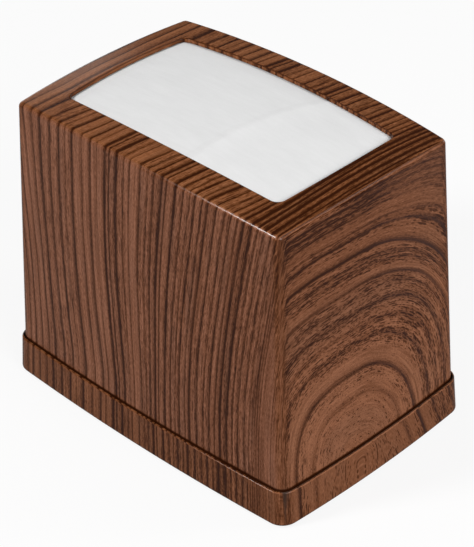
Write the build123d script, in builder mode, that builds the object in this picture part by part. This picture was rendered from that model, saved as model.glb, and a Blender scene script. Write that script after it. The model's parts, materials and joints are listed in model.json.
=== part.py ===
from build123d import *
import math
import os

# Table napkin holder: a tapered cover drops into a base tray, and a plate on two conical springs
# lifts a stack of folded napkins against the window in the cover's crowned top.
# Millimetres. X runs along the length, Y from front to back, Z up, with the origin on the table
# under the middle.

# Napkins and the room round them
napkin_length = 165.0
napkin_width = 105.0
napkin_corner = 3.0
stack_height = 64.7  # at the middle, from the plate to the top napkin's upper face
leaf_height = 0.9  # one folded napkin
flap_height = 0.3  # its folded leaf, which covers one side of the window
flap_edge_x = 16.0  # where the leaf's free edge crosses the middle
flap_edge_bow = 7.5  # how far that edge curves
flap_edge_slant = 7.5  # how far its back end runs on to the right
leaf_gap = 0.1  # between the top napkin and the stack
end_play = 1.7  # napkin to cover wall, at each end
side_play = 1.5  # napkin to cover wall, at front and back
top_play = 0.3  # napkin to the underside of the cover's top

# Cover
cover_wall = 2.2
cover_height = 165.6  # crown of the top above the table
cover_draft = 2.3  # degrees that each wall leans in above the rim
crown_along = 3.2  # rise of the top's long edges from their ends to the middle
crown_across = 1.6  # rise of its short edges
crown_swell = 3.0  # further rise from the edges to the middle
end_bow_top = 1.9  # outward bow of the short walls, in plan
end_bow_foot = 2.7
side_bow = 3.2  # outward bow of the long walls, in plan
top_corner = 3.0  # upright corner radius
foot_corner = 6.0
least_corner = 0.4
top_edge = 2.6  # rounding round the top
window_end_frame = 16.7
window_side_frame = 17.0
window_end_bow = 1.4
window_side_bow = 2.3
window_corner = 5.0
window_edge = 0.7  # rounding of the window's upper edge

# Base tray
foot_stand = 0.8  # the tray's lower edge above the table
rim_height = 19.7  # top of the rim above the tray's lower edge
rim_play = 0.75  # cover foot to rim
rim_lip = 1.1  # thickness of the rim's top
rim_flare = 1.0  # how far the rim spreads towards its lower edge
rim_corner = 9.0
rim_edge = 0.8
tray_edge = 1.5  # rounding round the lower edge
skirt = 3.6  # width of the lower edge round the recessed underside
recess = 2.2  # depth of the underside
floor = 2.4  # thickness
upstand = 1.8  # thickness of the wall inside the cover's foot
upstand_height = 8.0  # above the floor
tongue_rise = 6.0  # tongues stand this far above the rim
tongue_width = 22.0
tongue_pitch = 90.0
fit_play = 0.15  # tongue to the inside of the cover
rib = 1.6  # thickness of every stiffening rib
tray_rib_depth = 1.4
tray_rib_pitch_x = 46.0
tray_rib_pitch_y = 44.0

# Rubber feet
foot_radius = 7.0
foot_inset_x = 17.0  # foot centre to the tray's end
foot_inset_y = 16.0  # foot centre to the tray's front or back
foot_edge = 0.8
foot_play = 0.1
collar = 1.5  # thickness of the ring round each foot
collar_depth = 1.3

# Lift plate
plate_panel = 2.2
plate_skirt = 7.0  # overall depth
plate_skirt_wall = 1.8
plate_corner = 5.0
plate_edge = 0.8
plate_rib_depth = 4.0
plate_rib_pitch = 52.0

# Springs
wire = 1.5
spring_pitch_x = 84.0  # between the two spring axes
coil_radius_foot = 32.0  # at the middle of the wire
coil_radius_top = 17.0
coil_turns = 7.62
flat_turns = 0.62  # closed turns at each end
ease_turns = 0.2  # over which the wire leaves a closed turn
lead_turns = 0.06  # from the wire's end to the middle of its clamp
spring_play = 0.2  # wire to floor, plate and clamps
points_per_turn = 24  # for measuring the gap between turns

# Spring clamps and their screws
clamp_width = 9.0
clamp_thickness = 2.0
base_clamp_overhang = 2.0  # past the wire
plate_clamp_overhang = 0.4  # the coil's next turn passes round its ends
clamp_edge = 0.4
boss_radius = 5.0
screw_radius = 1.45
screw_head_radius = 3.0
screw_head_height = 2.0
screw_reach = 3.4  # into the boss
screw_play = 0.05
screw_hole_play = 0.3  # screw to clamp
screw_tip_room = 0.2
cross_width = 0.7
cross_length = 3.6
cross_depth = 1.0

# Heights and sizes that follow
floor_low = foot_stand + recess
floor_top = floor_low + floor
rim_top = foot_stand + rim_height
cover_seat = floor_top
tongue_top = rim_top + tongue_rise
cover_rise = cover_height - rim_top
cover_top_length = napkin_length + 2 * (end_play + cover_wall)
cover_top_width = napkin_width + 2 * (side_play + cover_wall)
draft_growth = 2 * cover_rise * math.tan(math.radians(cover_draft))
cover_foot_length = cover_top_length + draft_growth
cover_foot_width = cover_top_width + draft_growth
rim_top_length = cover_foot_length + 2 * (rim_play + rim_lip)
rim_top_width = cover_foot_width + 2 * (rim_play + rim_lip)
tray_length = rim_top_length + 2 * rim_flare
tray_width = rim_top_width + 2 * rim_flare
napkin_top = cover_height - cover_wall - top_play
plate_top = napkin_top - stack_height
panel_low = plate_top - plate_panel
boss_height = wire + 2 * spring_play
spring_xs = (-spring_pitch_x / 2, spring_pitch_x / 2)
screw_hole_depth = screw_reach + screw_tip_room
foot_x = tray_length / 2 - foot_inset_x
foot_y = tray_width / 2 - foot_inset_y
STANDING = (Align.CENTER, Align.CENTER, Align.MIN)
HANGING = (Align.CENTER, Align.CENTER, Align.MAX)


def bowed_plan(height, length, width, end_bow, side_bow, corner):
    """A rectangle on a level plane whose four sides bow outward, with rounded corners."""
    x = length / 2
    y = width / 2
    with BuildSketch(Plane.XY.offset(height)) as plan:
        with BuildLine():
            ThreePointArc((-x, -y), (0, -y - side_bow), (x, -y))
            ThreePointArc((x, -y), (x + end_bow, 0), (x, y))
            ThreePointArc((x, y), (0, y + side_bow), (-x, y))
            ThreePointArc((-x, y), (-x - end_bow, 0), (-x, -y))
        make_face()
        fillet(plan.vertices(), corner)
    return plan.sketch


def cover_plan(height, inset, placed_at=None):
    """The cover's outline at a height, moved in by an inset, or out by a negative one.

    It tapers above the rim, and the foot inside the rim is straight.
    """
    share = max(height - rim_top, 0) / cover_rise
    growth = draft_growth * (1 - share)
    corner = foot_corner + share * (top_corner - foot_corner) - inset
    return bowed_plan(
        height if placed_at is None else placed_at,
        cover_top_length + growth - 2 * inset,
        cover_top_width + growth - 2 * inset,
        end_bow_foot + share * (end_bow_top - end_bow_foot),
        side_bow,
        max(corner, least_corner),
    )


# The room above the crowned top, from which the top's faces and the napkins' are cut. The crown is a
# surface of second degree both ways: in its net of control points the square of a share of the half
# size, which is 1 at both edges, has the value -1 in the middle.
crown_half_length = cover_top_length / 2 + 2 * end_bow_top
crown_half_width = cover_top_width / 2 + 2 * side_bow
crown_fall_along = crown_along * (2 * crown_half_length / cover_top_length) ** 2
crown_fall_across = crown_across * (2 * crown_half_width / cover_top_width) ** 2
shares_and_squares = ((-1, 1), (0, -1), (1, 1))


def crown_control(x_square, y_square):
    """Height of a control point of the crown."""
    swell = crown_swell * (1 - x_square) * (1 - y_square)
    return cover_height - crown_swell - crown_fall_along * x_square - crown_fall_across * y_square + swell


crown_net = [
    [
        (x_share * crown_half_length, y_share * crown_half_width, crown_control(x_square, y_square))
        for y_share, y_square in shares_and_squares
    ]
    for x_share, x_square in shares_and_squares
]
room_above = extrude(Face.make_bezier_surface(crown_net), amount=cover_height, dir=(0, 0, 1))


def lowered(depth):
    """The room above a surface that lies that far below the crowned top."""
    return room_above.translate((0, 0, -depth))


# Cover
with BuildPart() as cover_core:
    loft([cover_plan(rim_top, cover_wall), cover_plan(cover_height, cover_wall)])
    extrude(cover_plan(rim_top, cover_wall), amount=-rim_top)
    add(lowered(cover_wall), mode=Mode.SUBTRACT)

with BuildPart() as cover:
    loft([cover_plan(rim_top, 0), cover_plan(cover_height, 0)])
    extrude(cover_plan(rim_top, 0), amount=cover_seat - rim_top)
    add(room_above, mode=Mode.SUBTRACT)
    fillet(cover.faces().sort_by(Axis.Z)[-1].edges(), top_edge)
    add(cover_core.part, mode=Mode.SUBTRACT)
    window = bowed_plan(
        napkin_top - crown_along - crown_across - crown_swell,
        cover_top_length - 2 * window_end_frame,
        cover_top_width - 2 * window_side_frame,
        window_end_bow,
        window_side_bow,
        window_corner,
    )
    extrude(window, amount=cover_height, mode=Mode.SUBTRACT)
    top_face = cover.faces().sort_by(Axis.Z)[-1]
    fillet(top_face.inner_wires()[0].edges(), window_edge)

# Base tray
rim_low = bowed_plan(foot_stand, tray_length, tray_width, end_bow_foot, side_bow, rim_corner)
rim_high = bowed_plan(rim_top, rim_top_length, rim_top_width, end_bow_foot, side_bow, rim_corner)
upstand_outside = cover_plan(tongue_top, cover_wall + fit_play, floor_top)
upstand_inside = cover_plan(tongue_top, cover_wall + fit_play + upstand, floor_top)

with BuildSketch(Plane.XY.offset(floor_top)) as tongue_strips:
    with GridLocations(tongue_pitch, 0, 2, 1):
        Rectangle(tongue_width, tray_width)

with BuildSketch(Plane.XY.offset(floor_top)) as upstand_ring:
    add(upstand_outside)
    add(upstand_inside, mode=Mode.SUBTRACT)

with BuildSketch(Plane.XY.offset(floor_top)) as tongues:
    add(upstand_ring.sketch)
    add(tongue_strips.sketch, mode=Mode.INTERSECT)

with BuildPart() as base_tray:
    loft([rim_low, rim_high])
    fillet(base_tray.faces().sort_by(Axis.Z)[0].edges(), tray_edge)
    fillet(base_tray.faces().sort_by(Axis.Z)[-1].edges(), rim_edge)
    extrude(cover_plan(rim_top, -rim_play, cover_seat), amount=rim_height, mode=Mode.SUBTRACT)
    underside = bowed_plan(
        foot_stand,
        tray_length - 2 * skirt,
        tray_width - 2 * skirt,
        end_bow_foot,
        side_bow,
        rim_corner - skirt,
    )
    extrude(underside, amount=recess, mode=Mode.SUBTRACT)
    extrude(upstand_ring.sketch, amount=upstand_height)
    extrude(tongues.sketch, amount=tongue_top - floor_top)
    with BuildSketch(Plane.XY.offset(floor_low)) as tray_ribs:
        with GridLocations(0, tray_rib_pitch_y, 1, 2):
            Rectangle(tray_length - skirt, rib)
        with GridLocations(tray_rib_pitch_x, 0, 3, 1):
            Rectangle(rib, tray_width - skirt)
    extrude(amount=-tray_rib_depth)
    with BuildSketch(Plane.XY.offset(floor_low)) as collars:
        with GridLocations(2 * foot_x, 2 * foot_y, 2, 2):
            Circle(foot_radius + foot_play + collar)
            Circle(foot_radius + foot_play, mode=Mode.SUBTRACT)
    extrude(amount=-collar_depth)
    with GridLocations(spring_pitch_x, 0, 2, 1):
        with Locations((0, 0, floor_top)):
            Cylinder(boss_radius, boss_height, align=STANDING)
        with Locations((0, 0, floor_top + boss_height)):
            Cylinder(screw_radius + screw_play, screw_hole_depth, align=HANGING, mode=Mode.SUBTRACT)

# Lift plate
with BuildPart() as lift_plate:
    with BuildSketch(Plane.XY.offset(plate_top)):
        RectangleRounded(napkin_length, napkin_width, plate_corner)
    extrude(amount=-plate_skirt)
    fillet(lift_plate.faces().sort_by(Axis.Z)[-1].edges(), plate_edge)
    with BuildSketch(Plane.XY.offset(panel_low)):
        RectangleRounded(
            napkin_length - 2 * plate_skirt_wall,
            napkin_width - 2 * plate_skirt_wall,
            plate_corner - plate_skirt_wall,
        )
    extrude(amount=-plate_skirt, mode=Mode.SUBTRACT)
    with BuildSketch(Plane.XY.offset(panel_low)):
        with GridLocations(0, plate_rib_pitch, 1, 2):
            Rectangle(napkin_length - plate_skirt_wall, rib)
        Rectangle(rib, napkin_width - plate_skirt_wall)
    extrude(amount=-plate_rib_depth)
    with GridLocations(spring_pitch_x, 0, 2, 1):
        with Locations((0, 0, panel_low)):
            Cylinder(boss_radius, boss_height, align=HANGING)
        with Locations((0, 0, panel_low - boss_height)):
            Cylinder(screw_radius + screw_play, screw_hole_depth, align=STANDING, mode=Mode.SUBTRACT)

# Springs: one conical coil, closed flat at both ends, made twice
coil_low = floor_top + spring_play + wire / 2
coil_high = panel_low - spring_play - wire / 2
open_turns = coil_turns - 2 * flat_turns
ease_share = ease_turns / open_turns


def coil_climb(share):
    """Share of the coil's height at a share of its open turns, eased at both ends."""
    top_rate = 1 / (1 - ease_share)
    if share <= 0:
        return 0.0
    if share < ease_share:
        return top_rate * share * share / (2 * ease_share)
    if share <= 1 - ease_share:
        return top_rate * (share - ease_share / 2)
    return 1 - coil_climb(1 - share)


def coil_point(turn):
    """Middle of the wire after that many turns, on a coil about the Z axis."""
    share = min(max((turn - flat_turns) / open_turns, 0), 1)
    radius = coil_radius_foot + share * (coil_radius_top - coil_radius_foot)
    angle = 2 * math.pi * (turn - lead_turns)
    height = coil_low + (coil_high - coil_low) * coil_climb(share)
    return Vector(radius * math.cos(angle), radius * math.sin(angle), height)


def coil_tangent(turn):
    """Direction of the wire after that many turns."""
    step = 1e-4
    return (coil_point(turn + step) - coil_point(turn - step)).normalized()


def biarc_middle(start, start_way, end, end_way):
    """Point and direction where two arcs meet that leave and arrive along the given directions."""
    across = end - start
    square = 2 * (1 - start_way.dot(end_way))
    linear = 2 * across.dot(start_way + end_way)
    reach = (math.sqrt(linear * linear + 4 * square * across.dot(across)) - linear) / (2 * square)
    before = start + start_way * reach
    after = end - end_way * reach
    return (before + after) / 2, (after - before).normalized()


span_count = math.ceil(4 * coil_turns)
span = coil_turns / span_count

with BuildPart() as coil:
    with BuildLine() as wire_path:
        for number in range(span_count):
            start = coil_point(number * span)
            end = coil_point((number + 1) * span)
            start_way = coil_tangent(number * span)
            end_way = coil_tangent((number + 1) * span)
            middle, middle_way = biarc_middle(start, start_way, end, end_way)
            TangentArc(start, middle, tangent=start_way)
            TangentArc(middle, end, tangent=middle_way)
    with BuildSketch(Plane(origin=coil_point(0), z_dir=coil_tangent(0))):
        Circle(wire / 2)
    sweep(path=wire_path.line)

turn_points = [coil_point(n / points_per_turn) for n in range(int(coil_turns * points_per_turn) + 1)]
least_gap = min(
    (turn_points[i] - turn_points[j]).length - wire
    for i in range(len(turn_points))
    for j in range(i + points_per_turn // 2, len(turn_points))
)
print("least gap between the turns of a spring, mm:", round(least_gap, 2))

# Spring clamps, the wide ones on the tray and the narrow ones on the plate
base_clamp_low = floor_top + boss_height
plate_clamp_low = panel_low - boss_height - clamp_thickness
base_clamp_reach = coil_radius_foot + wire / 2 + base_clamp_overhang
plate_clamp_reach = coil_radius_top + wire / 2 + plate_clamp_overhang


def clamp_bar(x, low, reach):
    """A round-ended bar across a closed turn, with a hole for its screw."""
    with BuildPart() as bar:
        with BuildSketch(Plane.XY.offset(low)):
            with Locations((x, 0)):
                SlotOverall(2 * reach, clamp_width)
                Circle(screw_radius + screw_hole_play, mode=Mode.SUBTRACT)
        extrude(amount=clamp_thickness)
        flat_faces = bar.faces().filter_by(Axis.Z)
        fillet([face.outer_wire().edges() for face in flat_faces], clamp_edge)
    return bar.part


def clamp_screws(seat, way):
    """Two pan-head screws, whose heads stand on their seats and point along the way (+1 up, -1 down)."""
    head_top = seat + way * screw_head_height
    tip = seat - way * (clamp_thickness + screw_reach)
    with BuildPart() as screws:
        for x in spring_xs:
            with BuildSketch(Plane((x, 0, 0), x_dir=(1, 0, 0), z_dir=(0, -1, 0))):
                with BuildLine():
                    Polyline(
                        (0, head_top),
                        (0, tip),
                        (screw_radius / 2, tip),
                        (screw_radius, tip + way * screw_radius / 2),
                        (screw_radius, seat),
                        (screw_head_radius, seat),
                        (screw_head_radius, seat + way * screw_head_height / 2),
                    )
                    TangentArc(
                        (0, head_top),
                        (screw_head_radius, seat + way * screw_head_height / 2),
                        tangent=(1, 0),
                    )
                make_face()
            revolve(axis=Axis((x, 0, 0), (0, 0, 1)))
            with Locations((x, 0, head_top)):
                Box(cross_length, cross_width, 2 * cross_depth, mode=Mode.SUBTRACT)
                Box(cross_width, cross_length, 2 * cross_depth, mode=Mode.SUBTRACT)
    return screws.part


# Napkins
with BuildPart() as napkin_stack:
    with BuildSketch(Plane.XY.offset(plate_top)):
        RectangleRounded(napkin_length, napkin_width, napkin_corner)
    extrude(amount=cover_height)
    add(lowered(cover_wall + top_play + flap_height + leaf_height + leaf_gap), mode=Mode.SUBTRACT)

flap_reach = napkin_width / 2 + side_play
flap_front = (flap_edge_x + flap_edge_bow - flap_edge_slant, -flap_reach)
flap_back = (flap_edge_x + flap_edge_bow + flap_edge_slant, flap_reach)

with BuildPart() as bare_side:
    with BuildSketch(Plane.XY.offset(plate_top)):
        with BuildLine():
            ThreePointArc(flap_front, (flap_edge_x, 0), flap_back)
            Polyline(
                flap_back,
                (-napkin_length, flap_reach),
                (-napkin_length, -flap_reach),
                flap_front,
            )
        make_face()
    extrude(amount=cover_height)
    add(lowered(cover_wall + top_play + flap_height), mode=Mode.INTERSECT)

with BuildPart() as top_napkin:
    with BuildSketch(Plane.XY.offset(plate_top)):
        RectangleRounded(napkin_length, napkin_width, napkin_corner)
    extrude(amount=cover_height)
    add(lowered(cover_wall + top_play), mode=Mode.SUBTRACT)
    add(lowered(cover_wall + top_play + flap_height + leaf_height), mode=Mode.INTERSECT)
    add(bare_side.part, mode=Mode.SUBTRACT)


def rubber_foot(x, y):
    """A round foot whose top is stuck to the underside of the floor."""
    with BuildPart() as foot:
        with Locations((x, y, 0)):
            Cylinder(foot_radius, floor_low, align=STANDING)
        fillet(foot.edges().group_by(Axis.Z)[0], foot_edge)
    return foot.part


pieces = {
    "cover": cover.part,
    "base_tray": base_tray.part,
    "lift_plate": lift_plate.part,
    "napkin_stack": napkin_stack.part,
    "top_napkin": top_napkin.part,
    "base_clamp_screws": clamp_screws(base_clamp_low + clamp_thickness, 1),
    "plate_clamp_screws": clamp_screws(plate_clamp_low, -1),
}
for side, x in zip(("left", "right"), spring_xs):
    pieces[f"spring_{side}"] = coil.part.translate((x, 0, 0))
    pieces[f"base_clamp_{side}"] = clamp_bar(x, base_clamp_low, base_clamp_reach)
    pieces[f"plate_clamp_{side}"] = clamp_bar(x, plate_clamp_low, plate_clamp_reach)
    foot_side = math.copysign(foot_x, x)
    pieces[f"foot_front_{side}"] = rubber_foot(foot_side, -foot_y)
    pieces[f"foot_back_{side}"] = rubber_foot(foot_side, foot_y)

os.makedirs("parts", exist_ok=True)
for name, piece in pieces.items():
    piece.label = name
    export_step(piece, f"parts/{name}.step")
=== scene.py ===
import json
import math
import random
from types import SimpleNamespace

import bmesh
import bpy
from mathutils import Matrix, Vector, noise


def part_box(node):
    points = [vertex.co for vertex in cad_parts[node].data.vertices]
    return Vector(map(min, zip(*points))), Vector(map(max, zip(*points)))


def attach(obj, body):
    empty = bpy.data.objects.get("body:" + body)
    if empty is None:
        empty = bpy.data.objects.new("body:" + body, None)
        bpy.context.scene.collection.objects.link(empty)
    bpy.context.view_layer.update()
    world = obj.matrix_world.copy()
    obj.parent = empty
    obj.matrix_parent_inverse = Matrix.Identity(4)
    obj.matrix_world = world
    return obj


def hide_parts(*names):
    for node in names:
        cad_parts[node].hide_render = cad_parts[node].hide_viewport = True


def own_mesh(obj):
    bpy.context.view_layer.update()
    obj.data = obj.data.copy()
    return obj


# Looks of a table napkin holder in wood-grain printed plastic, with paper napkins in its window.
# Objects are in metres. Materials read their position in millimetres.

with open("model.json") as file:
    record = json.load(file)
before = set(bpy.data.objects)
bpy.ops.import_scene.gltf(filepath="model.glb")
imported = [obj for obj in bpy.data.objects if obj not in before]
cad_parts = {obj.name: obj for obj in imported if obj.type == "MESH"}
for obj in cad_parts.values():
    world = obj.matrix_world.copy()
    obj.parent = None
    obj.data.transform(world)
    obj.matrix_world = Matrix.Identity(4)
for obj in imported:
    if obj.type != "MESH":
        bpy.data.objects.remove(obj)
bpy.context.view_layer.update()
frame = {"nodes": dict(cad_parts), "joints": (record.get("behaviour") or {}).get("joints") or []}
nodes = frame["nodes"]
joints = {joint["name"]: joint for joint in frame["joints"]}
MM = 0.001

# The photograph's camera
camera_azimuth = 45.517
camera_elevation = 34.670
camera_roll = -1.562
camera_distance = 1.12203
camera_target = (0.0, 0.0, 0.0708)
camera_lens = 150.06
camera_sensor = 36.0
camera_shift = (0.0080, -0.0020)
camera_clip = (0.05, 50.0)

# Crown of the cover's top, which the napkins follow: the fall along its edges, and the swell inside them
crown_half = (0.0864, 0.0562)
crown_fall = (0.0032, 0.0016)
swell_half = (0.0902, 0.0626)
crown_swell = 0.0030


class Field:
    """A number that varies over a surface: an output of a node tree, with arithmetic."""

    def __init__(self, tree, socket):
        self.tree = tree
        self.socket = socket

    def math(self, operation, *others):
        node = self.tree.nodes.new("ShaderNodeMath")
        node.operation = operation
        for socket, value in zip(node.inputs, (self, *others)):
            plug(socket, value)
        return Field(self.tree, node.outputs[0])

    def __add__(self, other):
        return self.math("ADD", other)

    def __sub__(self, other):
        return self.math("SUBTRACT", other)

    def __rsub__(self, other):
        return self.math("MULTIPLY_ADD", -1.0, other)

    def __mul__(self, other):
        return self.math("MULTIPLY", other)

    def __truediv__(self, other):
        return self.math("DIVIDE", other)

    def __rtruediv__(self, other):
        return self.math("POWER", -1.0) * other

    def __pow__(self, other):
        return self.math("POWER", other)

    def __abs__(self):
        return self.math("ABSOLUTE")

    __radd__ = __add__
    __rmul__ = __mul__

    def at_least(self, other):
        return self.math("MAXIMUM", other)

    def at_most(self, other):
        return self.math("MINIMUM", other)

    def rise(self, low, high):
        """A smooth step from 0 at low to 1 at high, or down where high is below low."""
        node = self.tree.nodes.new("ShaderNodeMapRange")
        node.interpolation_type = "SMOOTHSTEP"
        plug(node.inputs["Value"], self)
        node.inputs["From Min"].default_value = min(low, high)
        node.inputs["From Max"].default_value = max(low, high)
        node.inputs["To Min"].default_value = 0.0 if low < high else 1.0
        node.inputs["To Max"].default_value = 1.0 if low < high else 0.0
        return Field(self.tree, node.outputs["Result"])

    def towards(self, other, share):
        """This field where share is 0 and the other where share is 1."""
        return self + (other - self) * share


def plug(socket, value):
    """Link a field or a node's output to a socket, or set the socket to a constant."""
    if isinstance(value, Field):
        value.tree.links.new(value.socket, socket)
    elif isinstance(value, bpy.types.NodeSocket):
        value.id_data.links.new(value, socket)
    else:
        socket.default_value = value


def new_material(name, roughness, specular=0.5, metallic=0.0):
    """A material with one Principled shader, and its tree and shader."""
    material = bpy.data.materials.new(name)
    material.use_nodes = True
    tree = material.node_tree
    shader = tree.nodes["Principled BSDF"]
    shader.inputs["Roughness"].default_value = roughness
    shader.inputs["Specular IOR Level"].default_value = specular
    shader.inputs["Metallic"].default_value = metallic
    return material, tree, shader


def split(tree, socket, scale=1.0):
    """The three parts of a vector as fields."""
    node = tree.nodes.new("ShaderNodeSeparateXYZ")
    tree.links.new(socket, node.inputs[0])
    return [Field(tree, output) * scale for output in node.outputs]


def surface(tree):
    """Position in millimetres and normal, both in the object's own frame."""
    node = tree.nodes.new("ShaderNodeTexCoord")
    return split(tree, node.outputs["Object"], 1 / MM), split(tree, node.outputs["Normal"])


def speckle(tree, x, y, z, detail=2.0, roughness=0.5):
    """Smooth noise between 0 and 1, with one feature per unit. A fixed z picks one layer of it."""
    joined = tree.nodes.new("ShaderNodeCombineXYZ")
    for socket, value in zip(joined.inputs, (x, y, z)):
        plug(socket, value)
    node = tree.nodes.new("ShaderNodeTexNoise")
    node.inputs["Scale"].default_value = 1.0
    node.inputs["Detail"].default_value = detail
    node.inputs["Roughness"].default_value = roughness
    tree.links.new(joined.outputs[0], node.inputs["Vector"])
    return Field(tree, node.outputs["Fac"])


def blend_colours(tree, share, low, high, blend="MIX"):
    """A colour between two colours or colour outputs, or one blended with the other."""
    node = tree.nodes.new("ShaderNodeMix")
    node.data_type = "RGBA"
    node.blend_type = blend
    plug(node.inputs["Factor"], share)
    plug(node.inputs["A"], low)
    plug(node.inputs["B"], high)
    return node.outputs["Result"]


def paint(tree, shader, share, colours):
    """Give a shader a base colour between two colours."""
    plug(shader.inputs["Base Color"], blend_colours(tree, share, *colours))


def graded(tree, share, stops):
    """A colour ramp with its stops as (place, colour)."""
    node = tree.nodes.new("ShaderNodeValToRGB")
    elements = node.color_ramp.elements
    while len(elements) < len(stops):
        elements.new(0.5)
    for element, (place, colour) in zip(elements, stops):
        element.position = place
        element.color = colour
    plug(node.inputs["Fac"], share)
    return node.outputs["Color"]


def emboss(tree, shader, height, depth):
    """Bump from a field of heights, with its depth in millimetres."""
    node = tree.nodes.new("ShaderNodeBump")
    node.inputs["Strength"].default_value = 1.0
    node.inputs["Distance"].default_value = depth * MM
    plug(node.inputs["Height"], height)
    tree.links.new(node.outputs["Normal"], shader.inputs["Normal"])


# Wood-grain print, in millimetres. It is one film, folded over the top and down the four walls, so its
# stripes run front to back over the top, down the front and the back, and bend into arches on the ends.
# A pair of numbers says where a change along a direction begins and where it is complete.
film_half = 88.0  # half the film's length on the top, across the grain
film_taper = 0.0403  # how much the walls widen it per millimetre down, each way
film_top = 162.0
front_top = 56.2  # half the cover's width at that height
front_inset = 1.5  # how much shorter than the film the front is there, each way
foot_height = 20.5  # top of the tray's rim
rim_step = 0.1  # height over which the print changes from the cover to the rim
facing = (0.5, 0.9)  # part of the normal that makes a place one of an end, a front or the top
window_x = (76.0, 74.0)  # zone of the window and its lip, on both sides
window_y = (47.0, 45.0)
window_z = (148.0, 150.0)
sway_width = 38.0  # size of the stripes' slow sway
sway_height = 70.0

# Corners, with distances from them
corner_turn = 6.0  # how far the film runs on across the grain round a corner
corner_width = 2.0  # over which it does most of that
end_corner = (7.0, 1.5)  # where an end is dark and streaky
front_corner = (6.5, 3.0)  # and where the front is
arch_begin = (1.0, 4.5)  # where the arches are clear
steep_share = 0.4  # how much the streaks at a corner follow the arches
steep_size = (1.1, 7.0)  # size of those streaks, across and along them

# Arches on the ends. Their power says how square they are: 2 draws circles, and more draws squarer ones.
end_share = 0.19  # how far an end moves on across the grain, per millimetre from the fold
arch_middle = -12.0  # the arches' middle, along Y
arch_foot = 12.0  # and its height
arch_narrow = 0.78  # width of an arch over its height
arch_crown = 150.8  # height over the middle of the arch that starts at the fold
arch_soft = 6.0  # rounds the arches off near their feet
arch_sway = 3.0
arch_radian = 90.0  # length of grain for each radian round an arch
front_power = 3.2
back_power = -1.1  # what it gains behind the middle
high_arches = (112.0, 160.0)  # arches that gain more there, by their height over the middle
high_power = 1.2
middle_arch = 84.0
middle_spread = 28.0
middle_power = 0.6
plain_power = 2.3  # of the arches by which those heights are measured
rim_run = 0.35  # how far the lines run back on the tray's rim, per millimetre down
rim_run_y = (-5.0, 20.0)

# Stripes on the front and back: how they lean out towards the sides, as a share of what an end does
lean_middle = 8.0
lean_width = 24.0
lean_level = 0.32
lean_swing = 0.68
lean_growth = 0.0021
lean_left = (-50.0, -95.0)
lean_left_loss = 0.5
bow_height = 130.0  # height of a slow bow of the stripes left of the middle
bow_depth = 4.0
bow_left = (-90.0, -60.0)
bow_right = (20.0, -20.0)
front_sway = 2.6

# Stripes on the top's front frame: how they slant, per millimetre from the front edge
frame_depth = 24.0
frame_left = (-58.0, -74.0)
frame_right = (84.0, 50.0)
slant_left = 0.10
slant_front = 0.26

# Places where the print changes
end_high = (115.0, 142.0)
end_low = (125.0, 95.0)
end_rise = (30.0, 150.0)
end_rise_level = 0.3  # share of that rise at which an end isn't shaded
end_back = (-10.0, 30.0)
end_far_back = (10.0, 40.0)
end_front = (10.0, -40.0)
end_plum = (-15.0, 25.0)
last_group = (70.0, 76.0)  # where the last dark group ends, across the grain
left_stripe = -83.0  # a light stripe on the top's left frame, across the grain
left_stripe_spread = 3.0
left_frame = (-76.0, -90.0)
fold_height = 160.0
fold_bow = 45.0  # distance along Y at which the fold over an end lies 1 mm lower
fold_light = (6.5, 3.0)  # distance below the fold
fold_right = (-30.0, 80.0)
fold_turn = (0.25, 0.45)  # sideways times upward part of the normal, on the fold round the top
lip_turn = (0.2, 0.4)  # and on the window's lip
gloss_x = (0.0, 88.0)  # where that fold is glossy
gloss_y = (-44.0, -54.0)

# Sizes of the grain's parts, across and along it
streak_size = (1.3, 48.0)
hair_size = (0.5, 16.0)
grit_size = (0.45, 2.2)
short_pore_size = (0.9, 3.6)
long_pore_size = (1.15, 11.0)
pore_offset = (0.4, 31.0)  # of the long pores from the short ones
patch_size = (3.0, 55.0)
grey_size = (5.0, 60.0)

# Strength of the parts of the grain
ground_share = 0.2
line_share = 0.85
streak_share = 0.9
hair_share = 0.5
grit_share = 0.95
short_pore_share = 0.28
long_pore_share = 0.40
short_pore_fill = 0.8  # how many of a zone's places have short pores
short_pore_least = 0.1  # and how many have them outside the zones
long_pore_fill = 0.7
pore_level = 0.8
patch_level = 0.45
line_power = 1.5  # how sharp the growth lines are
arch_line_power = 1.3
dash_edge = (0.40, 0.22)  # distance from a pore's middle
dash_chance = (0.0, 0.15)

# How much stronger or weaker the grain is in some places
fibrous_gain = 0.8
calm_fibre_loss = 0.3
calm_pore_loss = 0.6
calm_line_loss = 0.9
rim_fibre_loss = 0.75
rim_corner_line_loss = 0.8
high_line_gain = 0.35
top_line_gain = 0.15
group_line_gain = 0.20
group_line_loss = 0.45
end_pore_gain = 0.7

# How much darker the film is in some places
dark_right_frame = 0.20
dark_left_frame = 0.12
dark_end = 0.20
dark_corner = 0.18
dark_corner_streak = 1.5
dark_rim = 0.12
# painted shade where the film folds into the window's lip
painted_lip_shade = 0.40

# And how much lighter
light_stripe = 0.15
light_end_rim = 0.02
# painted highlight on the ends, just below the fold round the top
painted_light_below_fold = 0.30
# painted highlight on the fold round the top's edges
painted_fold_highlight = 0.35

# Colour, gloss and relief of the film
grey_noise = (0.45, 0.75)
grey_share = 0.3
plum_share = 0.5
warm_corner = 0.55
warm_end = 0.45
film_gloss = 0.13
fold_gloss = 0.2
film_roughness = 0.17
streak_roughness = 0.10
bare_roughness = 0.2
film_relief = 0.012
dark_relief = -0.6
hair_relief = 0.4

# Bare plastic, the bowed outline inside which the tray is bare, and the painted shade of the joint on the
# cover's foot
rim_half_x = 92.6
rim_half_y = 62.6
rim_chord_x = 92.4
rim_chord_y = 62.4
rim_bow_x = 0.029
rim_bow_y = 0.051
rim_inside = (1.045, 1.030)
inward_turn = (0.0, -8.0)
inward_y = 1.5  # how much more the normal counts along Y
downward = (-0.35, -0.6)
joint_foot = (foot_height - 2.0, foot_height - 1.0)
joint_top = (foot_height + 1.3, foot_height + 0.4)
# strength of the painted shade in the joint between cover and tray
joint_painted_shade = 0.95

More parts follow.
